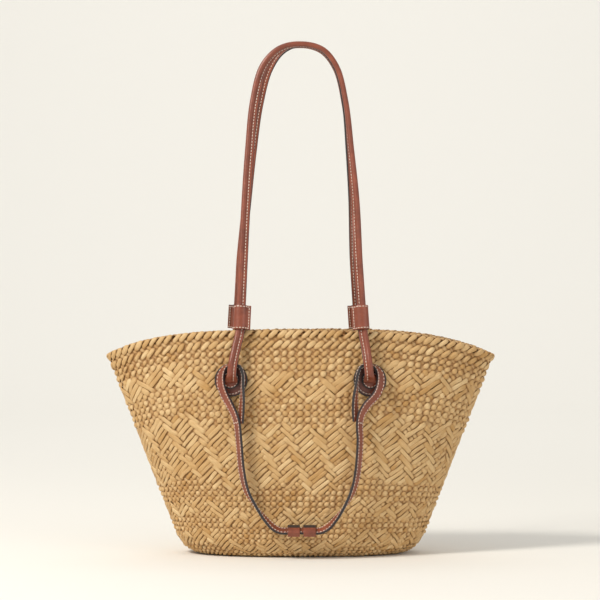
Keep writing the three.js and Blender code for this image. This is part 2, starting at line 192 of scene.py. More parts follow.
def skin(around, row):
    """Places and outward directions on the plait, over the fold and down inside included."""
    row_on_wall = np.minimum(row, ROWS)
    place = on_grid(grid, around, row_on_wall)
    out = unit(on_grid(normals, around, row_on_wall))
    place = place + out * (FOLD_SWELL * smooth(ROWS - 1.5, ROWS, row))[..., None]
    past = np.maximum(row - ROWS, 0) * TOP_ROW_HEIGHT
    turn = np.minimum(past / FOLD_RADIUS, np.pi)[..., None]
    down = np.maximum(past - np.pi * FOLD_RADIUS, 0)[..., None]
    round_rim = on_grid(round_way, around, np.full_like(row, ROWS))
    rise = unit(np.cross(out, round_rim))
    place = place + FOLD_RADIUS * (out * (np.cos(turn) - 1) + rise * np.sin(turn)) - rise * down
    return place, out * np.cos(turn) + rise * np.sin(turn)


# The strips. Rows in FLOAT_BANDS are plaited with long floats, and the others over one, under one.
FLOAT_BANDS = ((4.1, 6.5), (10.2, 12.4), (16.6, 26.6), (31.6, 34.0))
BAND_BLEND = 0.4
# The bands' edges wander up and down: by how many rows, how often round the bag, and from where.
BAND_WAVES = ((1.2, 3, 0.6), (0.7, 8, 0))


def in_floats(row, around):
    """1 where the plait has floats, 0 where it is tight."""
    turn = 2 * np.pi * around / STRIPS
    for reach, times, start in BAND_WAVES:
        row = row + reach * np.sin(times * turn + start)
    share = np.zeros_like(row, dtype=float)
    for low, high in FLOAT_BANDS:
        past_end = smooth(high, high + BAND_BLEND, row)
        share = np.maximum(share, smooth(low - BAND_BLEND, low, row) * (1 - past_end))
    return share


# Now and then the plaiter skips a crossing in the floats, which breaks up their pattern.
SKIPS = 0.07
FLOAT_REPEAT, FLOAT_UNDER = 6, 2  # in the floats a strip goes under two crossings in six
EDGE_ROWS, EDGE_REPEAT = 3.4, 3  # under the rim the rising strips pass over two and under one
EDGE_SLIMMING = 0.2
skips = chance.random((STRIPS, 4 * STRIPS)) < SKIPS


def rising_strip_is_over(i, j):
    """Strips i rise to the right, strips j to the left. Says which is outside where they cross."""
    row = (j - i) / 2
    floats = in_floats(row, (i + j) / 2) > 0.5
    skipped = skips[i % STRIPS, (j - i) % (4 * STRIPS)]
    plaited = np.where(floats, ((j + i // 2) % FLOAT_REPEAT >= FLOAT_UNDER) ^ skipped, (i + j) % 2 == 0)
    return np.where((row > ROWS - EDGE_ROWS) & (row <= ROWS), (j - i) % EDGE_REPEAT != 0, plaited)


# Each row is the height of the strip's middle above the skin, where it is outside and where it is
# inside, then its crown there, then its half width there as a share of the strips' spacing.
TIGHT_RISING = np.array([0.66, -0.9, 1.5, 0.6, 0.6, 0.34])
TIGHT_FALLING = np.array([0.0, -0.9, 0.85, 0.5, 0.45, 0.32])
FLOAT_RISING = np.array([0.45, -0.9, 1.25, 0.5, 0.5, 0.38])
FLOAT_FALLING = np.array([0.6, -0.9, 1.1, 0.45, 0.64, 0.38])
STEPS_PER_CROSSING = 4
FIRST_ROW = -0.75
# A strip's section: how far across, how much of its crown, how far its belly hangs in millimetres,
# and how deep the groove of a ridged strip is, which is deepest in the narrow falling ones.
ACROSS = np.array([-1, -0.74, -0.38, 0, 0.38, 0.74, 1, 0.5, -0.5])
CROWN = np.array([0, 0.62, 0.93, 1, 0.93, 0.62, 0, 0, 0])
BELLY_SIDE = np.array([0, 0, 0, 0, 0, 0, 0, -0.4, -0.4])
RIDGE = np.array([0, 0, -0.05, -0.42, -0.05, 0, 0, 0, 0])
STRIP_SLOPE = math.atan(LEAN)
GROOVE_RISING, GROOVE_NARROW = 0.75, 1.0
NARROWED_BY = 0.24
# Slow drift along the strips: how far it reaches, and over how many steps it changes.
WIDTH_DRIFT, CROWN_DRIFT, HEIGHT_DRIFT = (0.2, 6), (0.3, 5), (0.4 * MM, 7)
PLACE_DRIFT, TONE_DRIFT = (0.16, 9), (0.3, 8)
TONE_MIDDLE, TONE_SPREAD = 0.5, 0.16
LEAF_HALF_WIDTH = 2.4 * MM
RELIEF_SPAN = 1.9 * MM  # height over which the painted shade fades, from low and shaded brown to raised and pale
# Seen from inside the bag, the strips' lowest sides are the bare ones, and the painted shade is lifted from
# them.
INSIDE_FROM, INSIDE_OVER, INSIDE_DEPTH = 0.7 * MM, 0.5 * MM, 0.9
# Where the plait rests on the floor its lowest strips are pressed flat.
PRESSED_TO, PRESSED_SHARE = 1 * MM, 0.45


def wander(count, length, reach, every):
    """Slow random drift along each of count strips, up to about reach."""
    knots = chance.normal(0, reach / 2, (count, int(length / every) + 3))
    places = np.linspace(0, knots.shape[1] - 1.001, length)
    low = np.floor(places).astype(int)
    share = smooth(0, 1, places - low)
    return knots[:, low] * (1 - share) + knots[:, low + 1] * share


def strip_rings(rising):
    """The rings of points along every strip of one family, with its tone, depth and uv values."""
    rows = np.arange(FIRST_ROW, ROWS + FOLD_ROWS, 0.5 / STEPS_PER_CROSSING)
    length = len(rows)
    number = np.arange(STRIPS)[:, None]
    row = np.broadcast_to(rows, (STRIPS, length))
    other = number + 2 * row if rising else number - 2 * row
    around = (number + other) / 2
    low = np.floor(other).astype(int)
    share = smooth(0, 1, other - low)

    def outside(at):
        over = rising_strip_is_over(number, at) if rising else ~rising_strip_is_over(at, number)
        return over.astype(float)

    out_share = outside(low) * (1 - share) + outside(low + 1) * share
    floats = in_floats(row, around)[..., None]
    tight, loose = (TIGHT_RISING, FLOAT_RISING) if rising else (TIGHT_FALLING, FLOAT_FALLING)
    shape = tight * (1 - floats) + loose * floats
    floats = floats[..., 0]
    height = (shape[..., 1] + (shape[..., 0] - shape[..., 1]) * out_share) * MM
    crown = (shape[..., 3] + (shape[..., 2] - shape[..., 3]) * out_share) * MM
    half = shape[..., 5] + (shape[..., 4] - shape[..., 5]) * out_share
    narrow = (np.arange(STRIPS) % 2 == 1)[:, None] & (not rising)
    half = np.where(narrow, half * (1 - NARROWED_BY * floats), half)
    half = half * (1 - EDGE_SLIMMING * smooth(ROWS - EDGE_ROWS - 1, ROWS - EDGE_ROWS, row))
    ridged = np.where(rising, GROOVE_RISING, np.where(narrow, GROOVE_NARROW, 0.0)) * floats
    half = half * (1 + wander(STRIPS, length, *WIDTH_DRIFT))
    crown = crown * (1 + wander(STRIPS, length, *CROWN_DRIFT))
    height = height + wander(STRIPS, length, *HEIGHT_DRIFT)
    around = around + wander(STRIPS, length, *PLACE_DRIFT)

    spacing = np.interp(np.clip(row, 0, ROWS), row_counts, level_rounds) / STRIPS
    half_width = half * (spacing * math.sin(STRIP_SLOPE))
    place, out = skin(around, row)
    side = unit(np.cross(np.gradient(place, axis=1), out))
    profile = crown[..., None] * (CROWN + RIDGE * ridged[..., None]) + BELLY_SIDE * MM
    rings = (
        place[:, :, None]
        + side[:, :, None] * (ACROSS * half_width[..., None])[..., None]
        + out[:, :, None] * (height[..., None] + profile)[..., None]
    )
    low_points = rings[..., 2]
    pressed = PRESSED_TO + (low_points - PRESSED_TO) * PRESSED_SHARE
    rings[..., 2] = np.where(low_points < PRESSED_TO, pressed, low_points)

    tone = chance.normal(TONE_MIDDLE, TONE_SPREAD, (STRIPS, 1)) + wander(STRIPS, length, *TONE_DRIFT)
    # depth sets the painted groove shade: near 0 the leaf is painted shaded brown, near 1 it keeps its own
    # pale straw.
    depth = np.clip((height[..., None] + profile) / RELIEF_SPAN, -1, 1) * 0.5 + 0.5
    inside_unshaded = np.clip((-INSIDE_FROM - height[..., None] - profile) / INSIDE_OVER, 0, 1)
    depth = np.maximum(depth, INSIDE_DEPTH * inside_unshaded)
    tones = np.broadcast_to(tone[..., None], depth.shape)
    steps = np.linalg.norm(np.diff(place, axis=1), axis=2)
    run = np.concatenate([np.zeros((STRIPS, 1)), np.cumsum(steps, axis=1)], axis=1)
    uv = np.stack(np.broadcast_arrays(ACROSS * LEAF_HALF_WIDTH, run[..., None]), axis=-1)
    return rings, tones, depth, uv


def mesh_piece(name, points, faces):
    """A smooth mesh object from points and groups of faces, each group with its own corner count."""
    mesh = bpy.data.meshes.new(name)
    corners = np.concatenate([np.asarray(face, dtype=np.int32).ravel() for face in faces])
    counts = np.concatenate([np.full(len(face), np.shape(face)[1], np.int32) for face in faces])
    mesh.vertices.add(len(points))
    mesh.vertices.foreach_set("co", np.asarray(points, np.float32).ravel())
    mesh.loops.add(len(corners))
    mesh.loops.foreach_set("vertex_index", corners)
    mesh.polygons.add(len(counts))
    starts = np.concatenate([[0], np.cumsum(counts)[:-1]]).astype(np.int32)
    mesh.polygons.foreach_set("loop_start", starts)
    mesh.polygons.foreach_set("use_smooth", np.ones(len(counts), bool))
    mesh.update(calc_edges=True)
    piece = bpy.data.objects.new(name, mesh)
    bpy.context.scene.collection.objects.link(piece)
    return piece


def give_values(piece, uv, **values):
    """Stores named values at the points, and uv in metres: across and along the leaf."""
    mesh = piece.data
    for name, numbers in values.items():
        stored = mesh.attributes.new(name, "FLOAT", "POINT")
        stored.data.foreach_set("value", np.asarray(numbers, np.float32).ravel())
    layer = mesh.uv_layers.new(name="along")
    corner = np.empty(len(mesh.loops), np.int32)
    mesh.loops.foreach_get("vertex_index", corner)
    layer.data.foreach_set("uv", np.asarray(uv, np.float32).reshape(-1, 2)[corner].ravel())


def tube_faces(tubes, rings, ring):
    """Quads of tubes with rings of points each, and the caps on their two ends."""
    first = np.arange(tubes)[:, None, None] * rings * ring
    step = np.arange(rings - 1)[None, :, None] * ring
    turn = np.arange(ring)[None, None, :]
    a = first + step + turn
    b = first + step + (turn + 1) % ring
    quads = np.stack([a, b, b + ring, a + ring], axis=-1).reshape(-1, 4)
    start = first[:, 0] + np.arange(ring)[None, ::-1]
    end = first[:, 0] + (rings - 1) * ring + np.arange(ring)
    return [quads, start, end]


def linear(hex_value):
    """A colour given as sRGB hex, turned to linear."""
    parts = [int(hex_value[k:k + 2], 16) / 255 for k in (1, 3, 5)]
    return tuple(c / 12.92 if c <= 0.04045 else ((c + 0.055) / 1.055) ** 2.4 for c in parts) + (1.0,)


def add_node(tree, kind, inputs=None, **settings):
    """Adds a shader node. inputs holds values, or nodes or sockets to link, by socket name or number.
    A node that is given by itself is linked by its first output."""
    made = tree.nodes.new("ShaderNode" + kind)
    for name, value in settings.items():
        setattr(made, name, value)
    for name, value in (inputs or {}).items():
        if isinstance(value, bpy.types.Node):
            value = value.outputs[0]
        if isinstance(value, bpy.types.NodeSocket):
            tree.links.new(value, made.inputs[name])
        else:
            made.inputs[name].default_value = value
    return made


def new_material(name):
    made = bpy.data.materials.new(name)
    made.use_nodes = True
    made.node_tree.nodes.clear()
    return made, made.node_tree


MIX_A, MIX_B, MIX_RESULT = 6, 7, 2  # the colour sockets of a Mix node


def palm_leaf():
    """Dried date-palm leaf, split and plaited: pale straw with fine lengthwise fibres and a faint wax
    shine, with painted shade in brown where the strips dive under each other. Fibres are about 0.4 mm
    apart, drawn slightly coarse so that they show, and blotches of age are about 7 mm across."""
    material, tree = new_material("dried palm leaf, split and plaited")
    run = add_node(tree, "UVMap", uv_map="along")
    stretch = add_node(tree, "Mapping", {"Vector": run, "Scale": (1 / (0.45 * MM), 1 / (9 * MM), 1)})
    fibres = add_node(tree, "TexNoise", {"Vector": stretch, "Scale": 1.0, "Detail": 3.0, "Roughness": 0.6})
    place = add_node(tree, "TexCoord").outputs["Object"]
    blotches = add_node(tree, "TexNoise", {"Vector": place, "Scale": 1 / (7 * MM), "Detail": 2.0})
    tone = add_node(tree, "Attribute", attribute_name="tone").outputs["Fac"]
    depth = add_node(tree, "Attribute", attribute_name="depth").outputs["Fac"]
    pale = add_node(tree, "Mix", {0: tone, MIX_A: linear("#BF955C"), MIX_B: linear("#E8CB9A")},
                    data_type="RGBA")
    streak = add_node(tree, "MapRange", {"Value": fibres, "From Min": 0.35, "From Max": 0.7, "To Max": 0.46})
    streaked = add_node(tree, "Mix", {0: streak, MIX_A: pale.outputs[MIX_RESULT], MIX_B: linear("#A47640")},
                        data_type="RGBA")
    aged = add_node(tree, "MapRange", {"Value": blotches, "From Min": 0.45, "From Max": 0.75, "To Max": 0.3})
    toned = add_node(tree, "Mix", {0: aged, MIX_A: streaked.outputs[MIX_RESULT], MIX_B: linear("#C69E66")},
                     data_type="RGBA")
    # Painted shade: where the depth value says a strip lies low, the leaf is mixed towards dark brown in
    # place of the shade in the grooves.
    groove_shade_share = add_node(tree, "MapRange",
                    {"Value": depth, "From Min": 0.3, "From Max": 0.82, "To Min": 1.0, "To Max": 0.0})
    shaded = add_node(tree, "Mix", {0: groove_shade_share, MIX_A: toned.outputs[MIX_RESULT], MIX_B: linear("#885626")},
                      data_type="RGBA")
    relief = add_node(tree, "Bump", {"Height": fibres, "Strength": 0.6, "Distance": 0.3 * MM})
    gloss = add_node(tree, "MapRange",
                     {"Value": fibres, "From Min": 0.3, "From Max": 0.8, "To Min": 0.48, "To Max": 0.72})
    surface = add_node(tree, "BsdfPrincipled", {
        "Base Color": shaded.outputs[MIX_RESULT], "Roughness": gloss, "Normal": relief,
        "IOR": 1.45, "Specular IOR Level": 0.4})
    add_node(tree, "OutputMaterial", {"Surface": surface})
    return material


def hand_over(piece, body, slot, *nodes):
    """Puts a piece on a body and hides the CAD nodes it stands for; slot is not used."""
    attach(piece, body)
    if nodes:
        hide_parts(*nodes)


leaf = palm_leaf()
SHARES = 8  # the plait is handed over in this many pieces, each a group of neighbouring strips
families = [strip_rings(rising) for rising in (True, False)]
for part in range(SHARES):
    chosen = slice(part * STRIPS // SHARES, (part + 1) * STRIPS // SHARES)
    rings, tones, depths, uvs = (np.concatenate([family[k][chosen] for family in families])
                                 for k in range(4))
    piece = mesh_piece(f"wall_plait_{part + 1}", rings.reshape(-1, 3), tube_faces(*rings.shape[:3]))
    give_values(piece, uvs, tone=tones, depth=depths)
    piece.data.materials.append(leaf)
    hand_over(piece, "basket", "palm_leaf", *(("basket_wall", "rim_fold") if part == 0 else ()))

# ---- A layer of painted shade in the plait, and the base -----------------------------------------
# Between the two visible families lies a thin sheet painted in shaded brown: painted shade that
# closes the gaps at the crossings. The base is a flat oval of the same leaf, plaited on the bias.

LAYER_DEPTH = 0.5 * MM
LAYER_HALF = 0.15 * MM
LAYER_COLUMNS = 208
LAYER_CELL = (4.5 * MM, 3 * MM)  # one cell of the layer, across and along the leaf
# The layer's tone, and a low relief value, which paints it in the shaded brown of the gaps.
LAYER_TONE, LAYER_RELIEF = 0.4, 0.5


def gap_shade_layer():
    """A closed thin shell of painted shade that follows the skin from the base's edge up to just below the
    rim.
    """
    rows = np.arange(-0.5, ROWS - 0.4, 0.5)
    columns = np.arange(LAYER_COLUMNS)
    around, row = np.meshgrid(columns * STRIPS / LAYER_COLUMNS, rows, indexing="ij")
    place, out = skin(around, row)
    outer, inner = place - out * (LAYER_DEPTH - LAYER_HALF), place - out * (LAYER_DEPTH + LAYER_HALF)
    loops = np.concatenate([outer, inner[:, ::-1]], axis=1)
    ring = loops.shape[1]
    column, step = np.meshgrid(columns, np.arange(ring), indexing="ij")
    here, nearby = column * ring, (column + 1) % LAYER_COLUMNS * ring
    after = (step + 1) % ring
    quads = np.stack([here + step, nearby + step, nearby + after, here + after], axis=-1)
    piece = mesh_piece("wall_gap_shade_layer", loops.reshape(-1, 3), [quads.reshape(-1, 4)])
    run = np.stack([column * LAYER_CELL[0], step * LAYER_CELL[1]], axis=-1)
    give_values(piece, run, tone=np.full(step.shape, LAYER_TONE), depth=np.full(step.shape, LAYER_RELIEF))
    return piece


BASE_SPACING = 4.8 * MM
BASE_STRIPS, BASE_STEPS = 20, 24  # counted from the middle, enough to pass the oval's edge
BASE_LIFT = 0.85 * MM
BASE_CROWN = 0.8 * MM
BASE_STRIP_HALF = 0.46
BASE_MARGIN = 1 * MM
BASE_RING = np.array([(-1, 0), (-0.6, -0.8), (0, -1), (0.6, -0.8), (1, 0), (0.6, 0.8), (0, 1), (-0.6, 0.8)])
BASE_TONE_SPREAD = 0.2
# Painted shade on the base: the relief value sets how much shaded brown is painted on, less on strips that
# lie on top and more on strips underneath.
BASE_RELIEF, BASE_RELIEF_RISE = 0.55, 0.2


def base_plait():
    """Both families of the base's strips, over one and under one, cut to the oval."""
    half = np.array([BASE_HALF.x, BASE_HALF.y]) - BASE_MARGIN
    width = BASE_RING[:, 0] * BASE_STRIP_HALF * BASE_SPACING
    points, faces, tones, depths, uvs, start = [], [], [], [], [], 0
    for side in (1, -1):
        ahead = unit(np.array([1.0, side]))
        across = np.array([-ahead[1], ahead[0]])
        for number in range(-BASE_STRIPS, BASE_STRIPS + 1):
            steps = np.arange(-2 * BASE_STEPS, 2 * BASE_STEPS + 1) / 2
            track = across * number * BASE_SPACING + ahead * steps[:, None] * BASE_SPACING
            inside = (np.abs(track / half) ** BASE_ROUNDNESS).sum(axis=1) < 1
            if inside.sum() < 3:
                continue
            steps, track = steps[inside], track[inside]
            # The strips of the other family cross at whole steps, over where the sum is even.
            height = np.cos(np.pi * (steps + number)) * side
            place = np.column_stack([track, SKIN / 2 + height * BASE_LIFT])
            ring = place[:, None] + np.append(across, 0) * width[:, None]
            ring = ring + np.array([0, 0, BASE_CROWN]) * BASE_RING[:, 1:2]
            points.append(ring.reshape(-1, 3))
            faces += [group + start for group in tube_faces(1, len(place), len(BASE_RING))]
            start += len(points[-1])
            tones.append(np.full(len(points[-1]), chance.normal(TONE_MIDDLE, BASE_TONE_SPREAD)))
            # Painted shade: strips underneath get a lower relief value, and so more shaded brown.
            depths.append(np.repeat(BASE_RELIEF + BASE_RELIEF_RISE * height, len(BASE_RING)))
            run = np.broadcast_arrays(width, steps[:, None] * BASE_SPACING)
            uvs.append(np.stack(run, axis=-1).reshape(-1, 2))
    piece = mesh_piece("base_plait", np.concatenate(points), faces)
    give_values(piece, np.concatenate(uvs), tone=np.concatenate(tones), depth=np.concatenate(depths))
    return piece


for piece, nodes in ((gap_shade_layer(), ()), (base_plait(), ("basket_base",))):
    piece.data.materials.append(leaf)
    hand_over(piece, "basket", "palm_leaf", *nodes)

# ---- The leather and its thread ------------------------------------------------------------------
# Every strap is smooth vegetable-tanned leather with a fine grain, sewn with waxed linen thread at
# about three stitches to the centimetre. Cut edges are sealed with several coats of dark edge paint.


def vegetable_tanned_leather(name, colour, deep_colour):
    """Smooth, lightly waxed leather: fine pebbled grain about 0.8 mm across, cloudy dye, a satin
    shine, and slow wrinkles where it bends."""
    material, tree = new_material(name)
    place = add_node(tree, "TexCoord").outputs["Object"]
    cloud = add_node(tree, "TexNoise",
                     {"Vector": place, "Scale": 1 / (14 * MM), "Detail": 4.0, "Roughness": 0.6})
    pores = add_node(tree, "TexVoronoi", {"Vector": place, "Scale": 1 / (0.8 * MM)})
    creases = add_node(tree, "TexNoise",
                       {"Vector": place, "Scale": 1 / (2.6 * MM), "Detail": 5.0, "Roughness": 0.65})
    clouded = add_node(tree, "MapRange", {"Value": cloud, "From Min": 0.35, "From Max": 0.68})
    dyed = add_node(tree, "Mix", {0: clouded, MIX_A: linear(deep_colour), MIX_B: linear(colour)},
                    data_type="RGBA")
    pulled = add_node(tree, "MapRange", {"Value": creases, "From Min": 0.55, "From Max": 0.8, "To Max": 0.3})
    worn = add_node(tree, "Mix", {0: pulled, MIX_A: dyed.outputs[MIX_RESULT], MIX_B: linear("#B97A5C")},
                    data_type="RGBA")
    grain = add_node(tree, "Bump", {"Height": pores, "Strength": 0.22, "Distance": 0.12 * MM})
    wrinkles = add_node(tree, "Bump",
                        {"Height": creases, "Strength": 0.3, "Distance": 0.5 * MM, "Normal": grain})
    satin = add_node(tree, "MapRange",
                     {"Value": creases, "From Min": 0.3, "From Max": 0.75, "To Min": 0.28, "To Max": 0.46})
    surface = add_node(tree, "BsdfPrincipled", {
        "Base Color": worn.outputs[MIX_RESULT], "Roughness": satin, "Normal": wrinkles,
        "Specular IOR Level": 0.55})
    add_node(tree, "OutputMaterial", {"Surface": surface})
    return material


def edge_paint():
    """Several coats of dark grey-brown edge paint, rubbed smooth: half gloss, slightly lumpy."""
    material, tree = new_material("dark edge paint, burnished")
    place = add_node(tree, "TexCoord").outputs["Object"]
    lumps = add_node(tree, "TexNoise", {"Vector": place, "Scale": 1 / (1.6 * MM), "Detail": 3.0})
    tint = add_node(tree, "Mix", {0: lumps, MIX_A: linear("#1F1D1E"), MIX_B: linear("#383233")},
                    data_type="RGBA")
    relief = add_node(tree, "Bump", {"Height": lumps, "Strength": 0.4, "Distance": 0.3 * MM})
    rub = add_node(tree, "MapRange", {"Value": lumps, "To Min": 0.3, "To Max": 0.48})
    surface = add_node(tree, "BsdfPrincipled", {
        "Base Color": tint.outputs[MIX_RESULT], "Roughness": rub, "Normal": relief})
    add_node(tree, "OutputMaterial", {"Surface": surface})
    return material


def waxed_thread():
    """Off-white waxed linen thread of three plies, each laid at about 0.5 mm: pale and nearly matt."""
    material, tree = new_material("waxed linen thread, off-white")
    place = add_node(tree, "TexCoord").outputs["Object"]
    plies = add_node(tree, "TexNoise", {"Vector": place, "Scale": 1 / (0.5 * MM), "Detail": 2.0})
    tint = add_node(tree, "Mix", {0: plies, MIX_A: linear("#D9C3AE"), MIX_B: linear("#FBF3E6")},
                    data_type="RGBA")
    relief = add_node(tree, "Bump", {"Height": plies, "Strength": 0.5, "Distance": 0.15 * MM})
    surface = add_node(tree, "BsdfPrincipled", {
        "Base Color": tint.outputs[MIX_RESULT], "Roughness": 0.6, "Normal": relief})
    add_node(tree, "OutputMaterial", {"Surface": surface})
    return material


tan_leather = vegetable_tanned_leather("vegetable-tanned leather, tan, satin", "#8E4932", "#743A28")
dark_leather = vegetable_tanned_leather("vegetable-tanned leather, chestnut, satin", "#6E3A2B", "#592C20")
edging = edge_paint()
linen = waxed_thread()

STITCH_PITCH = 3.3 * MM
STITCH_LENGTH = 2.4 * MM
THREAD_RADIUS = 0.34 * MM
STITCH_SIDES = 6
# Rings along a stitch: how far from its middle, how thick, and how high, as shares of half its
# length and of the thread's radius. Both ends dive into the leather.
STITCH_RINGS = np.array([(-1, 0.15, -1.2), (-0.84, 0.75, -0.2), (-0.4, 1, 0.5),
                         (0.4, 1, 0.5), (0.84, 0.75, -0.2), (1, 0.15, -1.2)])


def stitch_piece(name, places, alongs, outs):
    """A row of separate stitches in one mesh, each with its own place, direction and side."""
    places, alongs, outs = (np.asarray(values, float).reshape(-1, 3) for values in (places, alongs, outs))
    across = unit(np.cross(outs, alongs))
    turn = np.arange(STITCH_SIDES) * 2 * np.pi / STITCH_SIDES
    reach, thick, lift = STITCH_RINGS.T
    middles = (places[:, None] + alongs[:, None] * (reach * STITCH_LENGTH / 2)[:, None]
               + outs[:, None] * (lift * THREAD_RADIUS)[:, None])
    circle = across[:, None] * np.cos(turn)[:, None] + outs[:, None] * np.sin(turn)[:, None]
    points = middles[:, :, None] + circle[:, None] * (thick * THREAD_RADIUS)[:, None, None]
    piece = mesh_piece(name, points.reshape(-1, 3), tube_faces(len(places), len(reach), STITCH_SIDES))
    piece.data.materials.append(linen)
    return piece


def catmull(points, shares):
    """Places and directions at shares of the way along a centripetal Catmull-Rom curve."""
    points = np.asarray(points, float)
    ends = np.concatenate([[2 * points[0] - points[1]], points, [2 * points[-1] - points[-2]]])
    at = np.clip(shares, 0, 1) * (len(points) - 1)
    low = np.minimum(at.astype(int), len(points) - 2)
    w = (at - low)[:, None]
    p0, p1, p2, p3 = (ends[low + k] for k in range(4))
    pairs = ((p0, p1), (p1, p2), (p2, p3))
    d0, d1, d2 = (np.sqrt(np.linalg.norm(b - a, axis=1))[:, None] for a, b in pairs)
    t1 = ((p1 - p0) / d0 - (p2 - p0) / (d0 + d1) + (p2 - p1) / d1) * d1
    t2 = ((p2 - p1) / d1 - (p3 - p1) / (d1 + d2) + (p3 - p2) / d2) * d1
    c2 = -3 * p1 + 3 * p2 - 2 * t1 - t2
    c3 = 2 * p1 - 2 * p2 + t1 + t2
    return p1 + w * (t1 + w * (c2 + w * c3)), unit(t1 + w * (2 * c2 + 3 * w * c3))


class Route:
    """A strap's route from left to right. The section's X points inward and its Y across the strap:
    Y stays as near to the bag's own Y as it can, then turns about the route by the turns given."""

    def __init__(self, points, turns, spacing):
        shares = np.linspace(0, 1, 40 * len(points))
        rough, _ = catmull(points, shares)
        walked = np.concatenate([[0], np.cumsum(np.linalg.norm(np.diff(rough, axis=0), axis=1))])
        self.length = walked[-1]
        self.walked = np.linspace(0, self.length, int(self.length / spacing) + 1)
        share = np.interp(self.walked, walked, shares)
        self.place, self.along = catmull(points, share)
        angle = np.radians(np.interp(share * (len(points) - 1), np.arange(len(points)), turns))[:, None]
        level = unit(np.array([0, 1, 0]) - self.along * self.along[:, 1:2])
        self.turned = level * np.cos(angle) + np.cross(self.along, level) * np.sin(angle)
        self.inward = np.cross(self.turned, self.along)

    def at(self, distances):
        """The route's place, direction, inward and turned directions at distances along it."""
        return [np.stack([np.interp(distances, self.walked, values[:, k]) for k in range(3)], axis=1)
                for values in (self.place, self.along, self.inward, self.turned)]

    def sweep(self, name, sections, part=slice(None)):
        """A closed strap along part of the route. sections holds the section's points, drawn
        anticlockwise, once or for every place."""
        place, inward, turned = self.place[part], self.inward[part], self.turned[part]
        sections = np.broadcast_to(sections, (len(place),) + sections.shape[-2:])
        rings = (place[:, None] + inward[:, None] * sections[..., 0:1]
                 + turned[:, None] * sections[..., 1:2])
        return mesh_piece(name, rings.reshape(-1, 3), tube_faces(1, *rings.shape[:2]))


def paint_faces(piece, chosen):
    """Gives the chosen faces the second material, which is edge paint."""
    if len(piece.data.materials) < 2:
        piece.data.materials.append(edging)
    picks = np.empty(len(piece.data.polygons), np.int32)
    piece.data.polygons.foreach_get("material_index", picks)
    picks[chosen] = 1
    piece.data.polygons.foreach_set("material_index", picks)


def wall_depth(x, z):
    """Depth of the middle of the wall in front of the bag's centre plane."""
    along_x = x / wall_half_length(z)
    climb = (z - WALL_FOOT) / (rim_height(along_x, 0) - WALL_FOOT)
    roundness = wall_roundness(climb)
    return wall_half_depth(climb) * (1 - np.abs(along_x) ** roundness) ** (1 / roundness)


# ---- Leather rounds ------------------------------------------------------------------------------
# At each end of a shoulder handle a round of thick leather is sewn to the wall, its edge painted.
# On it lies the smaller round end of the handle itself, and inside the wall a backing round takes
# the stitches.

ROUND_SIDES = 72
PAINTED_RIM = 1.3 * MM
ROUND_EASE = 0.6 * MM
GROOVE_HALF, GROOVE_DEPTH = 0.7 * MM, 0.25 * MM
DOME_SHARE, DOME_RISE = 0.4, 0.1 * MM
STITCH_SINK = 0.15 * MM
FACING_UP = 0.99
# For each kind of round: its leather, its material slot, and the radius of its ring of stitches.
ROUNDS = {
    "patch": (dark_leather, "dark_leather", 14.4 * MM),
    "handle_tab": (tan_leather, "tan_leather", 7.5 * MM),
    "backing": (dark_leather, "dark_leather", 10.8 * MM),
}


def cad_points(node):
    return np.array([corner.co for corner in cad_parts[node].data.vertices])


def leather_round(node, material, stitch_radius):
    """A disc with an eased, painted edge and a shallow sewn groove, laid where the CAD disc is."""
    co = cad_points(node)
    middle = (co.min(axis=0) + co.max(axis=0)) / 2
    out = np.linalg.svd(co - co.mean(axis=0), full_matrices=False)[2][2]
    out = out * np.sign(out[1] * middle[1])
    side = unit(np.cross([0, 0, 1], out))
    up = np.cross(out, side)
    half = np.abs((co - middle) @ out).max()
    radius = np.hypot((co - middle) @ side, (co - middle) @ up).max()
    bpy.ops.object.select_all(action="DESELECT")
    bpy.ops.mesh.primitive_cylinder_add(vertices=ROUND_SIDES, radius=radius, depth=2 * half)
    piece = bpy.context.active_object
    piece.name = f"{node}_leather"
    ease = piece.modifiers.new("eased edge", "BEVEL")
    ease.width = ROUND_EASE
    ease.segments = 3
    ease.limit_method = "ANGLE"
    bpy.ops.object.modifier_apply(modifier=ease.name)
    for face in piece.data.polygons:
        face.select = face.normal.z > FACING_UP
    bpy.ops.object.mode_set(mode="EDIT")
    bpy.ops.mesh.inset(thickness=PAINTED_RIM - ROUND_EASE)
    bpy.ops.mesh.inset(thickness=radius - PAINTED_RIM - stitch_radius - GROOVE_HALF)
    bpy.ops.mesh.inset(thickness=GROOVE_HALF, depth=-GROOVE_DEPTH)
    bpy.ops.mesh.inset(thickness=GROOVE_HALF, depth=GROOVE_DEPTH)
    bpy.ops.mesh.inset(thickness=stitch_radius * DOME_SHARE, depth=DOME_RISE)
    bpy.ops.object.mode_set(mode="OBJECT")
    bpy.ops.object.shade_smooth_by_angle(angle=math.radians(40))
    piece.data.materials.append(material)
    paint_faces(piece, [face.index for face in piece.data.polygons
                        if math.hypot(face.center.x, face.center.y) > radius - PAINTED_RIM])
    turn_and_place = np.eye(4)
    turn_and_place[:3, :] = np.column_stack([side, up, out, middle])
    piece.data.transform(Matrix(turn_and_place))
    count = round(2 * math.pi * stitch_radius / STITCH_PITCH)
    angle = np.arange(count) * 2 * np.pi / count
    ring = np.outer(np.cos(angle), side) + np.outer(np.sin(angle), up)
    along = np.outer(-np.sin(angle), side) + np.outer(np.cos(angle), up)
    places = middle + out * (half - STITCH_SINK) + ring * stitch_radius
    return piece, stitch_piece(f"{node}_stitches", places, along, np.broadcast_to(out, ring.shape))


for face_name in FACES:
    for side_name in SIDES:
        for kind, (material, slot, stitch_radius) in ROUNDS.items():
            node = f"{kind}_{face_name}_{side_name}"
            disc, stitches = leather_round(node, material, stitch_radius)
            hand_over(disc, "basket", slot, node)
            hand_over(stitches, "basket", slot)

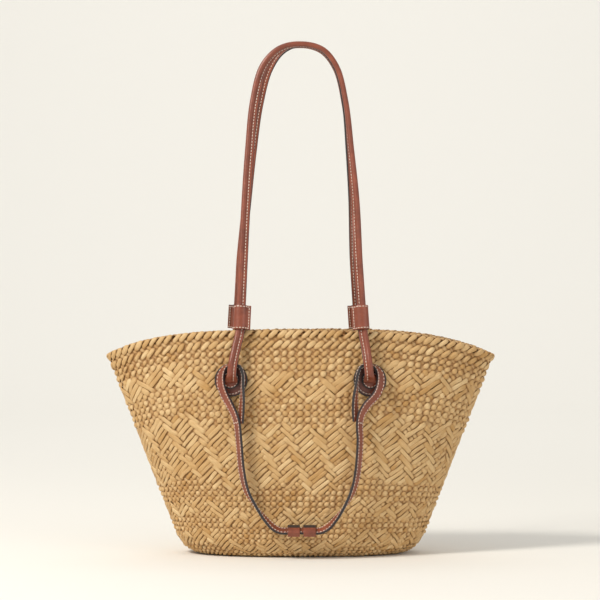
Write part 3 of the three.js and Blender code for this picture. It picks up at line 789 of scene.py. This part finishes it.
# ---- Shoulder handles ----------------------------------------------------------------------------
# Each long handle is one strip of leather rolled round a cotton cord, with its edges sewn together
# as a flat seam along the inside of the arch. Towards its feet it flattens onto its sewn tab.

FOOT_Z, EYE_Z = 178 * MM, 196.6 * MM
# How far out from the middle of the wall the handle, the eye and the handle over the eye lie.
FOOT_OUT = 10 * MM
EYE_OUT = 9.9 * MM
OVER_EYE_OUT = 18 * MM
LEG_LOW, LEG_HIGH = 232 * MM, 306 * MM
LEG_LOW_DEPTH = wall_depth(63 * MM, 229 * MM) + 10.2 * MM
LEG_HIGH_DEPTH = 50.5 * MM
OVER_RIM, OVER_RIM_OUT = 215 * MM, 13.5 * MM
PATCH_X = 70.2 * MM

# Each row is x on the left, x on the right, depth, height, and the turn of the seam towards the
# other handle in degrees on the left and on the right.
LEG_FOOT = [
    (-PATCH_X, PATCH_X, wall_depth(PATCH_X, FOOT_Z) + FOOT_OUT, FOOT_Z, 0, 0),
    (-69.8 * MM, 69.8 * MM, wall_depth(PATCH_X, FOOT_Z) + OVER_EYE_OUT - 3.2 * MM, 186 * MM, 0, 0),
    (-68.9 * MM, 68.7 * MM, wall_depth(PATCH_X, EYE_Z) + OVER_EYE_OUT, EYE_Z, 0, 0),
]


def handle_rows(over_rim, low, high, arch):
    """A handle's rows from its feet to near its top. The leg is straight where its sleeve slides."""
    low = np.array([low[0] * MM, low[1] * MM, LEG_LOW_DEPTH, LEG_LOW, 0, 0])
    high = np.array([high[0] * MM, high[1] * MM, LEG_HIGH_DEPTH, LEG_HIGH, 0, 0])
    left, right, wall_x = (x * MM for x in over_rim)
    rim_row = (left, right, wall_depth(wall_x, OVER_RIM) + OVER_RIM_OUT, OVER_RIM, 0, 0)
    straight = [tuple(low + (high - low) * share) for share in (0, 0.25, 0.5, 0.75, 1)]
    return LEG_FOOT + [rim_row] + straight + [tuple(v * MM for v in row[:4]) + row[4:] for row in arch]


HANDLES = {
    "front": handle_rows((-65.2, 66.2, 66), (-61.56, 63.45), (-58.6, 58.8), [
        (-55.9, 56.4, 38, 366, 0, 40),
        (-52.6, 51.8, 27, 418, 0, 62),
        (-47.6, 46.2, 17, 470, 0, 74),
        (-38, 37.1, 10.5, 506, 25, 80),
        (-21.5, 22.5, 7.2, 524, 50, 80),
    ]),
    "back": handle_rows((-68.6, 65.6, 67), (-67.84, 62.06), (-63.4, 57.2), [
        (-57, 54.8, 38, 366, 0, 40),
        (-51.2, 50.6, 27, 418, 0, 62),
        (-43.6, 45.4, 17, 470, 0, 74),
        (-33, 36.2, 10.5, 506, 25, 80),
        (-18.5, 21.5, 7.2, 524, 50, 80),
    ]),
}
HANDLE_TOP = (0, 6 * MM, 529.5 * MM)
TOP_TURN = 80

# Half of the section from the roll round to the end of the seam, in millimetres: the other half
# mirrors it. The dip at 1.8 is where the stitches pull the two edges together.
ROLL_MIDDLE, ROLL_RADIUS = -2, 2.8
ROLL_HALF = [(ROLL_MIDDLE + ROLL_RADIUS * math.cos(math.radians(a)), ROLL_RADIUS * math.sin(math.radians(a)))
             for a in range(172, 20, -16)]
SEAM_HALF = [(0.9, 1.12), (1.8, 0.78), (2.6, 0.97), (3.6, 0.99), (4.35, 0.92), (4.72, 0.62), (4.8, 0.2)]
HALF_SECTION = np.array(ROLL_HALF + SEAM_HALF) * MM
SECTION = np.concatenate([HALF_SECTION[::-1], HALF_SECTION * (1, -1)])
SEAM_PAINTED_FROM = 4.4 * MM
SEAM_STITCH_REACH, SEAM_STITCH_HEIGHT = 1.8 * MM, 0.85 * MM
FLAT_FULLY, FLAT_OVER = 2 * MM, 13 * MM
FOOT_WIDTH, FOOT_FLATNESS, FOOT_SHIFT = 1.35, 0.32, 2.3 * MM


def handle_route(face_name):
    rows, face = HANDLES[face_name], FACES[face_name]
    left = [(row[0], face * row[2], row[3]) for row in rows]
    right = [(row[1], face * row[2], row[3]) for row in reversed(rows)]
    top = (HANDLE_TOP[0], face * HANDLE_TOP[1], HANDLE_TOP[2])
    turns = [row[4] for row in rows] + [TOP_TURN] + [row[5] for row in reversed(rows)]
    return Route(left + [top] + right, [-face * turn for turn in turns], 1.6 * MM)


def flattened(distance, length):
    """1 at the very foot of a handle, and 0 where it is fully round."""
    return 1 - smooth(FLAT_FULLY, FLAT_OVER, np.minimum(distance, length - distance))


def cotton():
    """Undyed cotton cord, matt, its strands about 1 mm thick."""
    material, tree = new_material("undyed cotton cord")
    place = add_node(tree, "TexCoord").outputs["Object"]
    twist = add_node(tree, "TexNoise", {"Vector": place, "Scale": 1 / (1 * MM)})
    tint = add_node(tree, "Mix", {0: twist, MIX_A: linear("#C9BDA6"), MIX_B: linear("#E8DFCC")},
                    data_type="RGBA")
    surface = add_node(tree, "BsdfPrincipled", {"Base Color": tint.outputs[MIX_RESULT], "Roughness": 0.9})
    add_node(tree, "OutputMaterial", {"Surface": surface})
    return material


cord_cotton = cotton()
CORD_RADIUS, CORD_SIDES = 1.7 * MM, 10
CORD_SHORT_BY = 12  # steps of the route that the cord stops short of each end

for face_name, face in FACES.items():
    body = f"handle_{face_name}"
    route = handle_route(face_name)
    flat = flattened(route.walked, route.length)[:, None]
    to_wall = -face
    sections = np.stack([
        SECTION[:, 0] * (1 + (FOOT_WIDTH - 1) * flat),
        SECTION[:, 1] * (1 + (FOOT_FLATNESS - 1) * flat) + to_wall * FOOT_SHIFT * flat,
    ], axis=-1)
    handle = route.sweep(f"{body}_leather", sections)
    handle.data.materials.append(tan_leather)
    columns = len(SECTION)
    at_end = [k for k in range(columns) if SECTION[[k, (k + 1) % columns], 0].mean() > SEAM_PAINTED_FROM]
    paint_faces(handle, [step * columns + k for step in range(len(route.place) - 1) for k in at_end])
    places, alongs, outs = [], [], []
    for sign in (1, -1):
        distance = np.arange(STITCH_PITCH, route.length - STITCH_PITCH, STITCH_PITCH)
        place, along, inward, turned = route.at(distance)
        flat = flattened(distance, route.length)[:, None]
        height = sign * SEAM_STITCH_HEIGHT * (1 + (FOOT_FLATNESS - 1) * flat) + to_wall * FOOT_SHIFT * flat
        places.append(place + inward * SEAM_STITCH_REACH + turned * height)
        alongs.append(along)
        outs.append(sign * turned)
    stitches = stitch_piece(f"{body}_stitches", *map(np.concatenate, (places, alongs, outs)))
    for piece in (handle, stitches):
        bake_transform(piece)
    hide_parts(f"shoulder_handle_{face_name}")
    turn = np.arange(CORD_SIDES) * 2 * np.pi / CORD_SIDES
    ring = np.stack([ROLL_MIDDLE * MM + CORD_RADIUS * np.cos(turn), CORD_RADIUS * np.sin(turn)], axis=1)
    cord = route.sweep(f"{body}_cotton", ring, slice(CORD_SHORT_BY, -CORD_SHORT_BY))
    cord.data.materials.append(cord_cotton)
    hand_over(cord, body, "cotton_cord", f"handle_cord_{face_name}")

# ---- Sleeves on the shoulder handles -------------------------------------------------------------
# Each is a rectangle of leather wrapped round a leg, its two ends sewn together as a short flap.
# Its cut edges are painted, and a row of stitches follows its top and bottom edges.

SLEEVE_LENGTH, SLEEVE_WALL = 25 * MM, 1.5 * MM
BORE_HALF = (5.6 * MM, 3.5 * MM)
FLAP_REACH = 3.2 * MM
FLAP_HALF = 0.72 * MM
SLEEVE_LIFT = 1 * MM
SLEEVE_PITCH = STITCH_PITCH * 0.9
SLEEVE_STITCH_INSET = 1.5 * MM
FLAP_STITCHES = (3.6 * MM, 3 * MM)  # how far the flap's own stitches stop short, below and above
FLAP_STITCH_SHARE = 0.42
# Which way each sleeve's flap points: 1 is to the right.
FLAPS = {("front", "left"): 1, ("front", "right"): -1, ("back", "left"): -1, ("back", "right"): -1}


def wrapped_path():
    """The middle line of the wrapped sheet, from one flap end round to the other."""
    turn = np.radians(np.arange(38, 323, 9.5))  # open at the flap
    half = np.array(BORE_HALF) + SLEEVE_WALL / 2
    wrap = np.stack([half[0] * np.cos(turn), half[1] * np.sin(turn)], axis=1)
    base, end = BORE_HALF[0] + SLEEVE_WALL * 0.8, BORE_HALF[0] + SLEEVE_WALL + FLAP_REACH
    flap = np.array([(end, FLAP_HALF), ((end + base) / 2, FLAP_HALF), (base, FLAP_HALF),
                     (base - 0.7 * MM, FLAP_HALF + 0.5 * MM)])
    return np.concatenate([flap, wrap, flap[::-1] * (1, -1)])


def sheet_piece(name, path, length, steps, thickness, axes, origin, closed=False):
    """Leather that follows a path in its own XY and runs along its own Z, with painted edges."""
    levels = np.linspace(0, length, steps + 1)
    points = np.concatenate([np.column_stack([path, np.full(len(path), z)]) for z in levels])
    count = len(path)
    first = np.arange(count if closed else count - 1)
    second = (first + 1) % count
    faces = np.concatenate([np.stack([first, second, second + count, first + count], axis=1) + k * count
                            for k in range(steps)])
    piece = mesh_piece(name, points @ axes + origin, [faces])
    piece.data.materials.append(tan_leather)
    piece.data.materials.append(edging)
    bpy.ops.object.select_all(action="DESELECT")
    piece.select_set(True)
    bpy.context.view_layer.objects.active = piece
    thicken = piece.modifiers.new("thickness", "SOLIDIFY")
    thicken.thickness = thickness
    thicken.offset = 0
    thicken.use_even_offset = True
    thicken.material_offset_rim = 1
    bpy.ops.object.modifier_apply(modifier=thicken.name)
    ease = piece.modifiers.new("eased edge", "BEVEL")
    ease.width = 0.3 * MM
    ease.segments = 2
    ease.limit_method = "ANGLE"
    ease.angle_limit = math.radians(50)
    bpy.ops.object.modifier_apply(modifier=ease.name)
    bpy.ops.object.shade_smooth_by_angle(angle=math.radians(45))
    return piece


def along_path(path, spacing):
    """Places at even steps along a flat path, with the directions along and out of it."""
    steps = np.diff(path, axis=0)
    walked = np.concatenate([[0], np.cumsum(np.linalg.norm(steps, axis=1))])
    distance = np.arange(spacing / 2, walked[-1], spacing)
    place, ahead, behind = (
        np.stack([np.interp(distance + step, walked, path[:, k]) for k in range(2)], axis=1)
        for step in (0, 0.2 * MM, -0.2 * MM)
    )
    along = unit(ahead - behind)
    return place, along, np.stack([along[:, 1], -along[:, 0]], axis=1)


sleeve_path = wrapped_path()
for (face_name, side_name), flap_side in FLAPS.items():
    face, column = FACES[face_name], 0 if side_name == "left" else 1
    rows = HANDLES[face_name]
    low, high = (np.array([row[column], face * row[2], row[3]]) for row in (rows[4], rows[8]))
    up = unit(high - low)
    flap = unit(np.array([flap_side, 0, 0]) - up * flap_side * up[0])
    axes = np.array([flap, np.cross(up, flap), up])
    where = f"{face_name}_{side_name}"
    foot = low + up * SLEEVE_LIFT
    sleeve = sheet_piece(f"sleeve_{where}_leather", sleeve_path, SLEEVE_LENGTH, 8, SLEEVE_WALL, axes, foot)
    place, along, out = along_path(sleeve_path, SLEEVE_PITCH)
    places, alongs, outs = [], [], []
    for z in (SLEEVE_STITCH_INSET, SLEEVE_LENGTH - SLEEVE_STITCH_INSET):
        surface = place + out * SLEEVE_WALL / 2
        places.append(np.column_stack([surface, np.full(len(place), z)]))
        alongs.append(np.column_stack([along, np.zeros(len(place))]))
        outs.append(np.column_stack([out, np.zeros(len(place))]))
    rises = np.arange(FLAP_STITCHES[0], SLEEVE_LENGTH - FLAP_STITCHES[1], SLEEVE_PITCH)
    for sign in (1, -1):
        line = (BORE_HALF[0] + SLEEVE_WALL + FLAP_REACH * FLAP_STITCH_SHARE,
                sign * (FLAP_HALF + SLEEVE_WALL / 2))
        places.append(np.column_stack([np.tile(line, (len(rises), 1)), rises]))
        alongs.append(np.tile((0, 0, 1), (len(rises), 1)))
        outs.append(np.tile((0, sign, 0), (len(rises), 1)))
    places, alongs, outs = (np.concatenate(values) @ axes for values in (places, alongs, outs))
    stitches = stitch_piece(f"sleeve_{where}_stitches", places + foot, alongs, outs)
    hand_over(sleeve, f"sleeve_{where}", "tan_leather", f"sleeve_{where}")
    hand_over(stitches, f"sleeve_{where}", "tan_leather")

# ---- Hand straps ---------------------------------------------------------------------------------
# Each short strap is two layers of leather sewn near both edges, with thick painted edges. Its ends
# are folded back as eyes, which the feet of the shoulder handle hold against the patches.

STRAP_WIDTH, STRAP_THICKNESS = 9 * MM, 3 * MM
STRAP_LOWEST = 29.5 * MM
STRAP_HANG = 2.6 * MM
BOTTOM_TURN = -32
# Each row is how far out from the middle, height, turn in degrees, and how much nearer to the wall.
STRAP_BOTTOM = [
    (36.2, 42.2, -18, 0), (27.8, 33.4, -30, 0), (20, 29.5, BOTTOM_TURN, 0), (10, 29.5, BOTTOM_TURN, 0),
]
STRAP_LEFT = [
    (61.3, 138, -40, 2.3), (60.2, 148, -36, 2), (59, 162, -22, 1), (58.8, 176, -8, 0), (58.7, 188, 0, 0),
    (62.1, 195.8, 0, 0), (69.8, 196.6, 0, 0), (75.8, 194.8, 16, -0.6), (80.2, 188, 44, -1.4),
    (81, 178.5, 58, -1.8), (77.8, 168, 58, -1.6), (71.6, 156.6, 50, -0.6), (66.6, 146.4, 42, 0),
    (64.2, 138, 40, 0), (62.2, 120, 36, 0), (59.4, 90, 36, 0), (54.2, 69, 28, 0), (46, 55.2, 8, 0),
    *STRAP_BOTTOM,
]
STRAP_RIGHT = [
    (56.6, 140, -44, 2.4), (55.6, 150, -40, 2), (55.4, 163, -26, 1), (57, 177, -10, 0),
    (58.4, 188.5, 0, 0), (62.2, 195.8, 0, 0), (69.8, 196.6, 0, 0), (75.8, 194.8, 14, -0.6),
    (80.2, 189, 42, -1.4), (81.2, 179.5, 57, -2), (77.4, 168, 60, -2.4), (67.6, 157, 58, -2),
    (61.8, 147.6, 48, -0.4), (59.8, 138, 42, 0), (60.2, 120.7, 36, 0), (57.6, 88, 36, 0),
    (52.8, 69, 28, 0), (45.4, 55, 8, 0), *STRAP_BOTTOM,
]
STRAP_ROWS = ([(-row[0], *row[1:]) for row in STRAP_LEFT] + [(0, 29.5, BOTTOM_TURN, 0)]
              + list(reversed(STRAP_RIGHT)))

# A quarter of the section, from the middle of a face round to the middle of an edge: the stitches
# pull a dip near the edge, and the seam between the two layers shows in the painted edge.
STRAP_QUARTER = np.array([(1.52, 0.6), (1.5, 2.2), (1.4, 2.9), (1.28, 3.35), (1.4, 3.8),
                          (1.36, 4.2), (1.05, 4.46), (0.5, 4.52), (0.12, 4.4)]) * MM
UPPER_HALF = np.concatenate([STRAP_QUARTER, STRAP_QUARTER[::-1] * (-1, 1)])
STRAP_SECTION = np.concatenate([UPPER_HALF, -UPPER_HALF])
STRAP_PAINTED_FROM = 4.1 * MM
STITCH_LINE, STITCH_HEIGHT = 3.35 * MM, 1.25 * MM
TACK_Z, TACK_HEIGHT, TACK_HALF, TACK_SPLAY = 139 * MM, 1.6 * MM, 1.2 * MM, 0.9
TACK_SEARCH = ((0.12, 0.3), (0.88, 0.7))  # shares of the strap's length between which each tack lies


def strap_depth(x, z):
    hanging = wall_depth(0, 100 * MM) + SKIN / 2 + STRAP_HANG + STRAP_WIDTH / 2
    sewn = wall_depth(x, z) + EYE_OUT
    return hanging + (sewn - hanging) * smooth(120 * MM, 190 * MM, z)


for face_name, face in FACES.items():
    body = f"hand_strap_{face_name}"
    points = [(x * MM, face * (strap_depth(x * MM, z * MM) - nearer * MM), z * MM)
              for x, z, _, nearer in STRAP_ROWS]
    route = Route(points, [face * turn for _, _, turn, _ in STRAP_ROWS], 1.2 * MM)
    strap = route.sweep(f"{body}_leather", STRAP_SECTION)
    strap.data.materials.append(tan_leather)
    columns = len(STRAP_SECTION)
    at_edge = [k for k in range(columns)
               if np.abs(STRAP_SECTION[[k, (k + 1) % columns], 1]).mean() > STRAP_PAINTED_FROM]
    paint_faces(strap, [step * columns + k for step in range(len(route.place) - 1) for k in at_edge])
    distance = np.arange(STITCH_PITCH, route.length - STITCH_PITCH, STITCH_PITCH)
    place, along, inward, turned = route.at(distance)
    places, alongs, outs = [], [], []
    for layer in (1, -1):
        for line in (1, -1):
            places.append(place + inward * layer * STITCH_HEIGHT + turned * line * STITCH_LINE)
            alongs.append(along)
            outs.append(layer * inward)
    # Where each eye's folded end meets the strap, a small V of stitches holds the two together.
    for near, far in TACK_SEARCH:
        shares = np.linspace(near, far, 200) * route.length
        heights = route.at(shares)[0][:, 2]
        tack = shares[np.argmin(np.abs(heights - TACK_Z))]
        place, along, inward, turned = route.at(np.array([tack]))
        for layer in (1, -1):
            for sign in (1, -1):
                places.append(place + inward * layer * TACK_HEIGHT + turned * sign * TACK_HALF)
                alongs.append(unit(along + turned * sign * TACK_SPLAY))
                outs.append(layer * inward)
    stitches = stitch_piece(f"{body}_stitches", *map(np.concatenate, (places, alongs, outs)))
    hand_over(strap, body, "tan_leather", body)
    hand_over(stitches, body, "tan_leather")

# ---- Loops on the hand straps --------------------------------------------------------------------
# Two short keepers slide on the lowest stretch of each hand strap. Each is a band of leather closed
# at the top, where its joined ends are painted over.

LOOP_LENGTH, LOOP_WALL, LOOP_PLAY = 12.6 * MM, 1.4 * MM, 0.7 * MM
LOOP_BULGE, LOOP_CORNER = 0.5 * MM, 1.5 * MM
PAINTED_FROM = 1.2 * MM
LOOP_X = {"left": -6.8 * MM, "right": 9.2 * MM}


def keeper_path():
    """The middle line of the band: a rectangle with well rounded corners."""
    half_thickness = STRAP_THICKNESS / 2 + LOOP_PLAY + LOOP_WALL / 2
    half_width = STRAP_WIDTH / 2 + LOOP_PLAY + LOOP_WALL / 2
    path = []
    for quarter, (sx, sy) in enumerate(((1, 1), (-1, 1), (-1, -1), (1, -1))):
        for step in range(5):
            a = math.radians(90 * quarter + 22.5 * step)
            path.append((sx * (half_thickness - LOOP_CORNER) + LOOP_CORNER * math.cos(a),
                         sy * (half_width - LOOP_CORNER) + LOOP_CORNER * math.sin(a)))
        if sx * sy < 0:  # after the second and the fourth corner comes a long side, which bulges
            for share in (-0.5, 0, 0.5):
                bulge = LOOP_BULGE * (1 - share * share)
                path.append((sx * (half_thickness + bulge), sx * share * half_width))
    return np.array(path)


band_path = keeper_path()
for face_name, face in FACES.items():
    turn = math.radians(face * BOTTOM_TURN)
    across = np.array([0, math.cos(turn), math.sin(turn)])
    along = np.array([1, 0, 0])
    axes = np.array([np.cross(across, along), across, along])
    for side_name, x in LOOP_X.items():
        where = f"{face_name}_{side_name}"
        middle = np.array([x, face * strap_depth(0, STRAP_LOWEST), STRAP_LOWEST])
        start = middle - along * LOOP_LENGTH / 2
        band = sheet_piece(f"strap_loop_{where}_leather", band_path, LOOP_LENGTH, 6, LOOP_WALL, axes, start,
                           closed=True)
        heights = np.array([np.dot(polygon.center - Vector(middle), across)
                            for polygon in band.data.polygons])
        paint_faces(band, np.flatnonzero(heights > PAINTED_FROM))
        hand_over(band, f"strap_loop_{where}", "tan_leather", f"strap_loop_{where}")

# ---- Camera, floor and light ---------------------------------------------------------------------
# The bag stands on a plain pale sweep of paper, in soft light from the upper left with a weak fill
# from the right. The camera looks level at the middle of the bag from far off, so lines stay straight.

CAMERA_X, CAMERA_DISTANCE, CAMERA_HEIGHT = -0.0005, 2.6, 0.2632
VIEW_WIDTH = 0.6267
SWEEP_SIZE = 12
SWEEP_FOLD = 3

camera_data = bpy.data.cameras.new("camera")
camera_data.lens = camera_data.sensor_width * CAMERA_DISTANCE / VIEW_WIDTH
camera = bpy.data.objects.new("camera", camera_data)
camera.location = (CAMERA_X, -CAMERA_DISTANCE, CAMERA_HEIGHT)
camera.rotation_euler = (math.pi / 2, 0, 0)
bpy.context.scene.collection.objects.link(camera)
bpy.context.scene.camera = camera


def area_light(name, place, size, watts, colour, target=(0, 0, 0.2)):
    data = bpy.data.lights.new(name, "AREA")
    data.shape = "DISK"
    data.size = size
    data.energy = watts
    data.color = linear(colour)[:3]
    lamp = bpy.data.objects.new(name, data)
    lamp.location = place
    aim = Vector(target) - Vector(place)
    lamp.rotation_euler = aim.to_track_quat("-Z", "Y").to_euler()
    bpy.context.scene.collection.objects.link(lamp)


area_light("key", (-1.5, -1.3, 2.1), 0.7, 52, "#FFFAF2")
area_light("fill", (1.8, -1.9, 0.9), 1.6, 9, "#FFFFFF")
area_light("wash on the sweep", (0, 2.4, 4.2), 4, 74, "#FFFFFF", (0, 6, 1.2))

world = bpy.data.worlds.new("pale room")
world.use_nodes = True
world.node_tree.nodes["Background"].inputs[0].default_value = linear("#FAFAF8")
world.node_tree.nodes["Background"].inputs[1].default_value = 0.6
bpy.context.scene.world = world
bpy.context.scene.view_settings.view_transform = "Standard"

bpy.ops.object.select_all(action="DESELECT")
bpy.ops.mesh.primitive_plane_add(size=SWEEP_SIZE, location=(0, 0, 0))
floor = bpy.context.active_object
floor.name = "floor"
for edge in floor.data.edges:
    edge.select = all(floor.data.vertices[k].co.y > 0 for k in edge.vertices)
for corner in floor.data.vertices:
    corner.select = corner.co.y > 0
for face in floor.data.polygons:
    face.select = False
bpy.ops.object.mode_set(mode="EDIT")
bpy.ops.mesh.extrude_region_move(TRANSFORM_OT_translate={"value": (0, 0, SWEEP_SIZE / 2)})
bpy.ops.object.mode_set(mode="OBJECT")
fold = floor.modifiers.new("swept fold", "BEVEL")
fold.width = SWEEP_FOLD
fold.segments = 32
bpy.ops.object.modifier_apply(modifier=fold.name)
bpy.ops.object.shade_smooth()
paper, tree = new_material("matt white paper")
sheet = add_node(tree, "BsdfPrincipled", {"Base Color": linear("#F2EFE8"), "Roughness": 0.9})
add_node(tree, "OutputMaterial", {"Surface": sheet})
floor.data.materials.append(paper)
